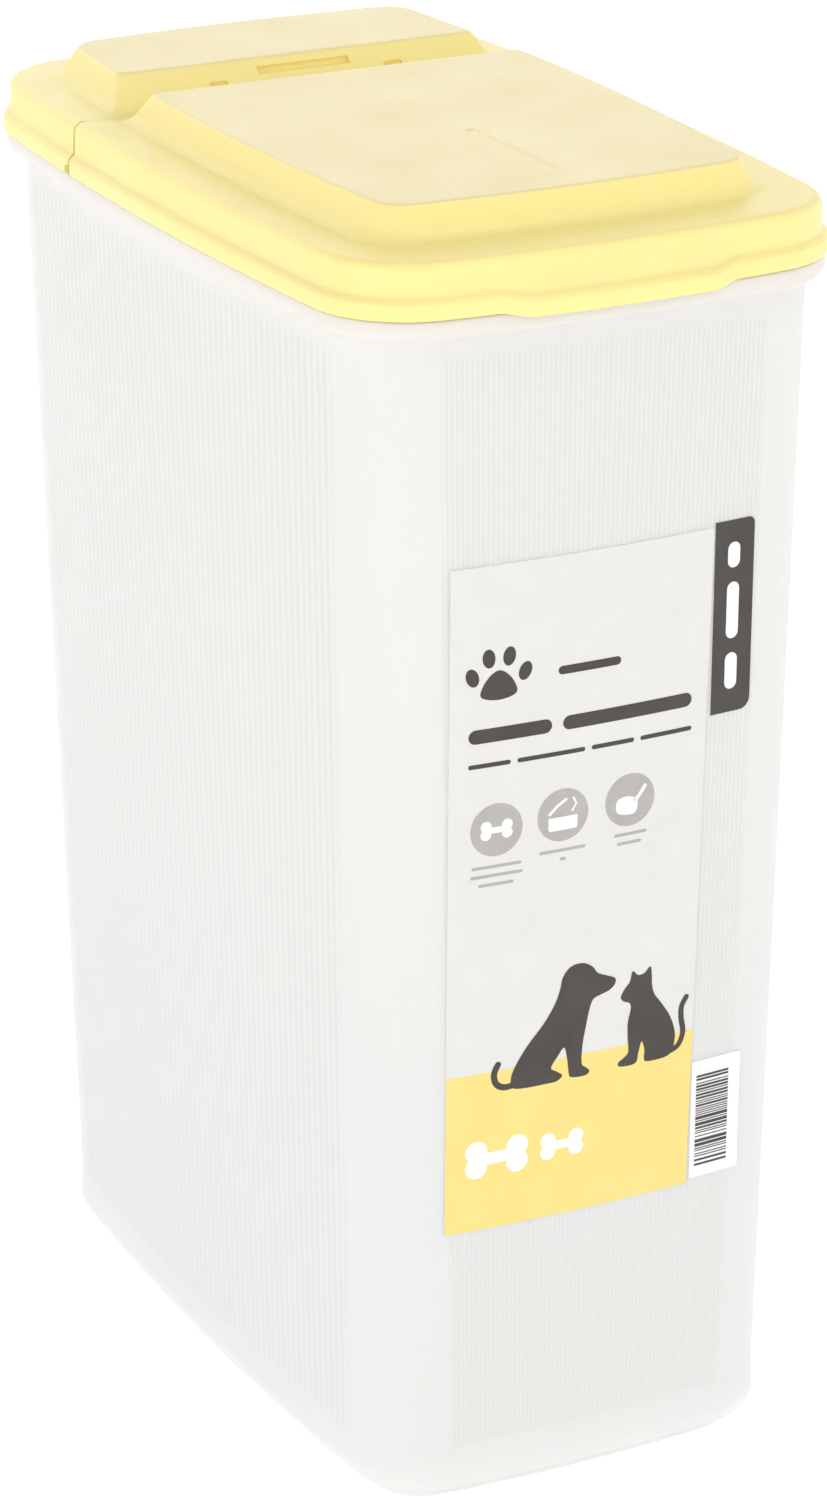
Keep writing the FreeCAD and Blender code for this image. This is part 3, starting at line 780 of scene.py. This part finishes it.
def dog_outlines():
    """A sitting dog of plain design, facing +X, and its tail."""
    body = [(-15.4, 78.3), (-9.0, 78.1), (-7.4, 78.3), (-6.6, 79.1), (-7.6, 80.0), (-8.7, 80.9),
            (-7.5, 82.8), (-6.3, 84.2), (-5.7, 82.0), (-5.4, 79.6), (-4.9, 78.4), (-2.2, 78.2),
            (-1.4, 78.9), (-2.1, 79.7), (-2.9, 80.6), (-2.8, 84.0), (-2.2, 87.5), (-1.6, 90.4),
            (-0.9, 92.1), (0.6, 92.7), (2.2, 93.2), (3.2, 94.1), (3.2, 95.2), (1.6, 96.0),
            (-0.1, 96.8), (-1.2, 98.2), (-3.0, 99.2), (-5.2, 99.0), (-6.7, 97.4), (-7.3, 95.0),
            (-8.3, 92.4), (-10.3, 89.3), (-13.2, 85.9), (-15.4, 82.5), (-16.2, 80.2)]
    tail = [(-15.7, 79.1), (-17.5, 79.0), (-18.9, 79.9), (-19.3, 81.7), (-18.6, 83.4)]
    return [spline(body, steps=5), ribbon(spline(tail, False, 4), 1.15)]


def cat_outlines():
    """A sitting cat of plain design, facing -X, and its tail."""
    body = [(9.9, 78.2), (13.8, 78.3), (15.0, 79.8), (15.3, 82.4), (14.3, 85.6), (12.5, 88.5),
            (11.0, 90.6), (10.5, 92.4), (10.4, 94.0), (10.1, 95.9), (8.9, 94.9), (7.7, 94.8),
            (6.6, 95.7), (6.1, 93.9), (5.1, 92.7), (4.4, 91.4), (4.9, 90.5), (6.1, 89.9),
            (6.4, 88.8), (5.9, 86.4), (5.9, 83.6), (6.1, 80.9), (5.3, 79.9), (4.2, 79.2),
            (4.4, 78.4), (6.8, 78.2), (7.8, 78.7), (8.1, 80.2), (8.7, 82.2), (9.3, 80.4),
            (9.2, 79.0)]
    tail = [(14.6, 79.2), (16.1, 80.0), (16.9, 82.2), (16.5, 84.8), (16.5, 87.0), (17.4, 88.6)]
    return [spline(body, steps=5), ribbon(spline(tail, False, 4), 1.05)]


def make_label(materials):
    """The printed film and its inks. Text and marks are generic bars and pictures."""
    film, yellow, ink, grey, pale = materials
    outline = [(LABEL_X0, LABEL_Z0), (LABEL_X1, LABEL_Z0)]
    outline += [(label_edge(z), z) for z in (90, 130)]
    outline += [(LABEL_X1_TOP, LABEL_Z1), (LABEL_X0, LABEL_Z1)]
    x0, z0, x1, z1 = STRIP
    strip = rounded_box(x0, z0, x1, z1, (0, 2.0, 1.2, 0))
    pieces = [finish_mesh("label_film", wrap_outlines([outline, strip], 0.0, FILM),
                          film, "tub", ["product_label"])]
    layers = [
        ("label_panel", [[(LABEL_X0, LABEL_Z0), (LABEL_X1, LABEL_Z0), (label_edge(PANEL_TOP), PANEL_TOP),
                          (LABEL_X0, PANEL_TOP)]], yellow, 1),
        ("label_strip", [strip], ink, 1),
        ("label_strip_marks", [bar_upright(24.4, 143.5, 150.0, 2.4), bar_upright(24.4, 152.5, 162.5, 2.4),
                               bar_upright(24.4, 165.0, 169.5, 2.4)], pale, 2),
        ("label_heading", paw(-19.3, 152.4, 7.6) + [bar(-8.6, 3.0, 152.6, 1.5)], ink, 1),
        ("label_title", [bar(-24.6, -9.6, 143.2, 2.5), bar(-7.6, 16.8, 143.2, 2.5)], ink, 1),
        ("label_line", [bar(-24.6, -17.0, 138.0, 0.8), bar(-15.8, -3.4, 138.0, 0.8),
                        bar(-2.2, 5.8, 138.0, 0.8), bar(7.0, 16.9, 138.0, 0.8)], ink, 1),
        ("label_discs", [circle(-19.4, 126.3, 4.7), circle(-7.3, 126.9, 4.7), circle(5.3, 127.3, 4.7)],
         grey, 1),
        ("label_icons", icon_shapes(), pale, 2),
        ("label_captions", caption_bars(), grey, 1),
        ("label_pets", dog_outlines() + cat_outlines(), ink, 2),
        ("label_biscuits", bone(-18.6, 66.2, 11.6, 7.0) + bone(-6.4, 66.2, 8.2, 5.0), pale, 2),
    ]
    for name, outlines, material, level in layers:
        mesh = wrap_outlines(outlines, FILM + 0.02 * level, 0.0)
        pieces.append(finish_mesh(name, mesh, material, "tub"))
    return pieces


def bar_upright(x, z0, z1, width):
    r = width / 2
    return rounded_box(x - r, z0, x + r, z1, (r, r, r, r), 5)


def icon_shapes():
    """Plain white pictures on the grey discs: a biscuit, an open lid and a scoop."""
    shapes = bone(-19.4, 126.3, 5.8, 3.4)
    shapes.append(rounded_box(-10.0, 124.2, -4.6, 126.6, (0.5, 0.5, 0.1, 0.1), 3))
    shapes.append(ribbon([(-9.8, 127.3), (-8.4, 128.6), (-6.8, 129.6)], 0.5))
    shapes.append(ribbon([(-5.6, 127.4), (-4.9, 128.6), (-5.4, 129.7)], 0.35))
    shapes.append(spline([(3.0, 125.2), (6.2, 124.8), (6.6, 127.2), (4.6, 128.0), (2.8, 127.4)]))
    shapes.append(ribbon([(6.3, 127.0), (7.3, 128.2), (8.1, 129.4)], 0.7))
    return shapes


def caption_bars():
    """Tiny caption lines under the discs."""
    shapes = []
    for x0, x1, z in ((-23.8, -14.8, 119.8), (-24.0, -14.6, 118.2), (-22.6, -16.2, 116.6),
                      (-11.6, -3.0, 120.6), (-7.8, -6.6, 119.0), (2.4, 8.6, 121.2), (3.0, 7.6, 119.6)):
        shapes.append(bar(x0, x1, z, 0.55))
    return shapes


def make_sticker(paper, ink):
    """White paper sticker with plain bars of random width."""
    x0, z0, x1, z1 = 19.0, 53.6, 29.0, 75.8
    outline = rounded_box(x0, z0, x1, z1, (0.4, 0.4, 0.4, 0.4), 3)
    finish_mesh("sticker", wrap_outlines([outline], 0.0, FILM), paper, "tub",
                ["barcode_sticker"])
    dice = random.Random(5)
    bars, place = [], z0 + 2.2
    while place < z1 - 3.0:
        width = dice.choice((0.2, 0.2, 0.4, 0.6))
        bars.append([(x0 + 1.0, place), (x1 - 2.4, place), (x1 - 2.4, place + width),
                     (x0 + 1.0, place + width)])
        place += width + dice.choice((0.2, 0.25, 0.45))
    finish_mesh("sticker_bars", wrap_outlines(bars, FILM + 0.03), ink, "tub")


# ---------------------------------------------------------------- materials

class Nodes:
    """A small helper that builds one node material."""

    def __init__(self, name):
        self.material = bpy.data.materials.new(name)
        self.material.use_nodes = True
        self.tree = self.material.node_tree
        self.tree.nodes.clear()
        self.output = self.tree.nodes.new("ShaderNodeOutputMaterial")
        self.shader = self.tree.nodes.new("ShaderNodeBsdfPrincipled")
        self.link(self.shader.outputs[0], self.output.inputs["Surface"])

    def new(self, kind, **settings):
        node = self.tree.nodes.new(kind)
        for key, setting in settings.items():
            if key in node.inputs:
                node.inputs[key].default_value = setting
            else:
                setattr(node, key, setting)
        return node

    def link(self, source, target):
        self.tree.links.new(source, target)

    def set(self, **settings):
        for key, setting in settings.items():
            self.shader.inputs[key.replace("_", " ")].default_value = setting

    def noise(self, scale, detail=2.0, roughness=0.5):
        """Noise in the object's own metres."""
        place = self.new("ShaderNodeTexCoord")
        noise = self.new("ShaderNodeTexNoise")
        noise.inputs["Scale"].default_value = scale
        noise.inputs["Detail"].default_value = detail
        noise.inputs["Roughness"].default_value = roughness
        self.link(place.outputs["Object"], noise.inputs["Vector"])
        return noise.outputs["Fac"]

    def between(self, source, low, high):
        """Spread a value from its usual 0.3-0.7 to low-high."""
        spread = self.new("ShaderNodeMapRange")
        for key, number in (("From Min", 0.3), ("From Max", 0.7), ("To Min", low), ("To Max", high)):
            spread.inputs[key].default_value = number
        self.link(source, spread.inputs["Value"])
        return spread.outputs["Result"]

    def tint(self, source, first, last):
        """A colour between two, by a value."""
        mix = self.new("ShaderNodeMix", data_type="RGBA")
        colours = [socket for socket in mix.inputs if socket.type == "RGBA"]
        colours[0].default_value, colours[1].default_value = (*first, 1), (*last, 1)
        self.link(source, mix.inputs["Factor"])
        return [socket for socket in mix.outputs if socket.type == "RGBA"][0]

    def mix(self, source, first, last):
        """One colour socket or another, by a value."""
        mix = self.new("ShaderNodeMix", data_type="RGBA")
        colours = [socket for socket in mix.inputs if socket.type == "RGBA"]
        self.link(source, mix.inputs["Factor"])
        self.link(first, colours[0])
        self.link(last, colours[1])
        return [socket for socket in mix.outputs if socket.type == "RGBA"][0]

    def height_step(self, low, high):
        """0 below low and 1 above high, in the object's own metres."""
        place = self.new("ShaderNodeTexCoord")
        split = self.new("ShaderNodeSeparateXYZ")
        self.link(place.outputs["Object"], split.inputs["Vector"])
        step = self.new("ShaderNodeMapRange", interpolation_type="SMOOTHSTEP")
        step.inputs["From Min"].default_value = low
        step.inputs["From Max"].default_value = high
        self.link(split.outputs["Z"], step.inputs["Value"])
        return step.outputs["Result"]

    def bump(self, source, strength, distance):
        bump = self.new("ShaderNodeBump")
        bump.inputs["Strength"].default_value = strength
        bump.inputs["Distance"].default_value = distance
        self.link(source, bump.inputs["Height"])
        self.link(bump.outputs["Normal"], self.shader.inputs["Normal"])
        return bump


def tub_material():
    """Natural polypropylene: milky, lets light through, softly glossy."""
    nodes = Nodes("tub_translucent")
    flow = nodes.between(nodes.noise(14, 3), 0.0, 1.0)
    # Below about 50 mm the walls are painted darker and greyer, and above about 200 mm lighter and
    # warmer: painted shade towards the bottom of the tub.
    milky = nodes.tint(flow, (0.945, 0.950, 0.920), (0.955, 0.960, 0.930))
    warm = nodes.tint(flow, (0.99, 0.97, 0.935), (0.995, 0.98, 0.945))
    neck = nodes.tint(flow, (0.985, 0.925, 0.855), (0.99, 0.935, 0.865))
    walls = nodes.mix(nodes.height_step(0.05, 0.20), milky, warm)
    rib_shade_mask = nodes.new("ShaderNodeAttribute", attribute_name="rib").outputs["Fac"]
    # Rib crests painted darker: painted shade of the inner ribs, seen through the wall.
    walls = nodes.mix(rib_shade_mask, walls, nodes.tint(flow, (0.865, 0.862, 0.84), (0.88, 0.877, 0.855)))
    nodes.link(nodes.mix(nodes.height_step(WALL_TOP * MM, RIM_LOW * MM), walls, neck),
               nodes.shader.inputs["Base Color"])
    nodes.link(nodes.between(nodes.noise(60, 3), 0.30, 0.38), nodes.shader.inputs["Roughness"])
    nodes.set(IOR=1.45, Specular_IOR_Level=0.35, Transmission_Weight=0.20)
    nodes.set(Subsurface_Weight=0.3, Subsurface_Scale=0.004)
    nodes.shader.inputs["Subsurface Radius"].default_value = (1.0, 0.98, 0.94)
    nodes.bump(nodes.noise(900, 2), 0.04, 0.0002)
    return nodes.material


def lid_material():
    """Pale yellow polypropylene, satin. The flat top faces are painted paler and greyer: a painted sheen.
    """
    nodes = Nodes("lid_yellow")
    flow = nodes.between(nodes.noise(22, 3), 0.0, 1.0)
    walls = nodes.tint(flow, (0.985, 0.82, 0.32), (0.99, 0.835, 0.335))
    # The flat top faces get a paler, greyer colour: a painted sheen. It stops just below the top face, so
    # the round top edges and the shallow top line keep the wall colour.
    tops_painted_sheen = nodes.tint(flow, (0.87, 0.73, 0.36), (0.88, 0.745, 0.375))
    level = nodes.height_step((BLOCK_TOP - 0.30) * MM, (BLOCK_TOP - 0.06) * MM)
    nodes.link(nodes.mix(level, walls, tops_painted_sheen), nodes.shader.inputs["Base Color"])
    nodes.link(nodes.between(nodes.noise(70, 3), 0.32, 0.40), nodes.shader.inputs["Roughness"])
    nodes.set(IOR=1.5, Subsurface_Weight=0.25, Subsurface_Scale=0.002)
    nodes.shader.inputs["Subsurface Radius"].default_value = (1.0, 0.75, 0.3)
    nodes.bump(nodes.noise(2600, 2), 0.10, 0.0001)
    return nodes.material


def print_material(name, first, last, roughness, scale=160):
    """A printed or paper surface with slight mottling."""
    nodes = Nodes(name)
    grain = nodes.between(nodes.noise(scale, 3), 0.0, 1.0)
    nodes.link(nodes.tint(grain, first, last), nodes.shader.inputs["Base Color"])
    nodes.link(nodes.between(nodes.noise(scale * 1.7, 2), roughness - 0.04, roughness + 0.04),
               nodes.shader.inputs["Roughness"])
    nodes.bump(nodes.noise(scale * 12, 1), 0.05, 0.00005)
    return nodes.material


# ---------------------------------------------------------------- build

tub_plastic = tub_material()
lid_plastic = lid_material()
make_tub(tub_plastic)
make_shell("lid_flap_shell", FLAP, -1, True, lid_plastic, "flap", "lid_flap", [top_line_tool()])
make_shell("lid_rear_shell", REAR, 1, False, lid_plastic, "lid_rear", "lid_rear_section",
           rear_wall_tools() + notch_tools("notch_cut"))
make_tongue(lid_plastic)
make_web(lid_plastic)

label_paper = print_material("label_film_print", (0.73, 0.722, 0.695), (0.755, 0.747, 0.72), 0.42)
panel_yellow = print_material("label_yellow_ink", (0.89, 0.69, 0.21), (0.90, 0.71, 0.23), 0.40)
dark_ink = print_material("label_dark_ink", (0.045, 0.037, 0.033), (0.06, 0.05, 0.045), 0.42)
grey_ink = print_material("label_grey_ink", (0.42, 0.40, 0.38), (0.46, 0.44, 0.42), 0.45)
pale_ink = print_material("label_pale_ink", (0.88, 0.87, 0.84), (0.91, 0.90, 0.87), 0.42)
sticker_white = print_material("sticker_paper_white", (0.86, 0.86, 0.85), (0.90, 0.90, 0.89), 0.5)
make_label((label_paper, panel_yellow, dark_ink, grey_ink, pale_ink))
make_sticker(sticker_white, dark_ink)


# ---------------------------------------------------------------- floor, light and camera

FLOOR_GLOW, SKY = 0.38, 0.54


def make_floor():
    """A plain pale floor that turns up softly all round, far from the object."""
    mesh = bmesh.new()
    flat, radius, top, turns = 2.2, 1.3, 2.6, 72
    section = [(flat * i / 4, 0.0) for i in range(1, 5)]
    for i in range(1, 13):
        turn = math.pi / 2 * i / 12
        section.append((flat + radius * math.sin(turn), radius - radius * math.cos(turn)))
    section.append((flat + radius, top))
    rows = [[mesh.verts.new((reach * math.cos(2 * math.pi * k / turns),
                             reach * math.sin(2 * math.pi * k / turns), z))
             for k in range(turns)] for reach, z in section]
    for first, last in zip(rows, rows[1:]):
        join_loops(mesh, first, last)
    mesh.faces.new(rows[0])
    bmesh.ops.recalc_face_normals(mesh, faces=mesh.faces)
    data = bpy.data.meshes.new("floor")
    mesh.to_mesh(data)
    mesh.free()
    for polygon in data.polygons:
        polygon.use_smooth = True
    nodes = Nodes("floor_pale")
    nodes.link(nodes.tint(nodes.noise(3), (0.86, 0.86, 0.86), (0.88, 0.88, 0.88)),
               nodes.shader.inputs["Base Color"])
    nodes.set(Roughness=0.8, Specular_IOR_Level=0.1, Emission_Color=(1.0, 1.0, 1.0, 1.0),
              Emission_Strength=FLOOR_GLOW)
    data.materials.append(nodes.material)
    floor = bpy.data.objects.new("floor", data)
    bpy.context.scene.collection.objects.link(floor)


def add_light(name, place, target, size, power):
    """A white area light that the camera doesn't see; size in metres, power in watts."""
    data = bpy.data.lights.new(name, "AREA")
    data.shape = "RECTANGLE"
    data.size, data.size_y = size
    data.energy = power
    light = bpy.data.objects.new(name, data)
    light.visible_camera = False
    light.location = place
    light.rotation_euler = (Vector(target) - Vector(place)).to_track_quat("-Z", "Y").to_euler()
    bpy.context.scene.collection.objects.link(light)


def make_world():
    world = bpy.data.worlds.new("studio")
    world.use_nodes = True
    background = world.node_tree.nodes["Background"]
    background.inputs["Color"].default_value = (1.0, 1.0, 1.0, 1.0)
    background.inputs["Strength"].default_value = SKY
    bpy.context.scene.world = world
    bpy.context.scene.view_settings.view_transform = "Standard"


def make_camera():
    """The photograph's view, with a small shift because the picture was cropped off centre."""
    data = bpy.data.cameras.new("camera")
    data.sensor_fit = "VERTICAL"
    data.sensor_height = 36.0
    data.lens = 122.8
    data.shift_x, data.shift_y = 0.0127, 0.0029
    data.clip_start = 0.05
    camera = bpy.data.objects.new("camera", data)
    eye = Vector((-0.38171, -0.76306, 0.44103))
    forward = Vector((0.41603, 0.83466, -0.36093)).normalized()
    right = Vector((0.89402, -0.44799, -0.00548))
    right = (right - forward * right.dot(forward)).normalized()
    up = right.cross(forward)
    turn = Matrix((right, up, -forward)).transposed().to_4x4()
    camera.matrix_world = Matrix.Translation(eye) @ turn
    bpy.context.scene.collection.objects.link(camera)
    bpy.context.scene.camera = camera


make_floor()
make_world()
middle = (0, 0, 0.12)
add_light("left_softbox", (-1.15, -0.55, 0.45), middle, (0.4, 1.0), 1.9)
add_light("front_softbox", (-0.15, -1.30, 0.45), middle, (0.5, 1.0), 0.4)
add_light("front_top_softbox", (0.30, -0.60, 1.15), (0, 0, 0.22), (0.45, 0.45), 1.75)
add_light("back_softbox", (0.15, 1.3, 0.75), (0, 0, 0.22), (1.5, 0.8), 2.2)
make_camera()
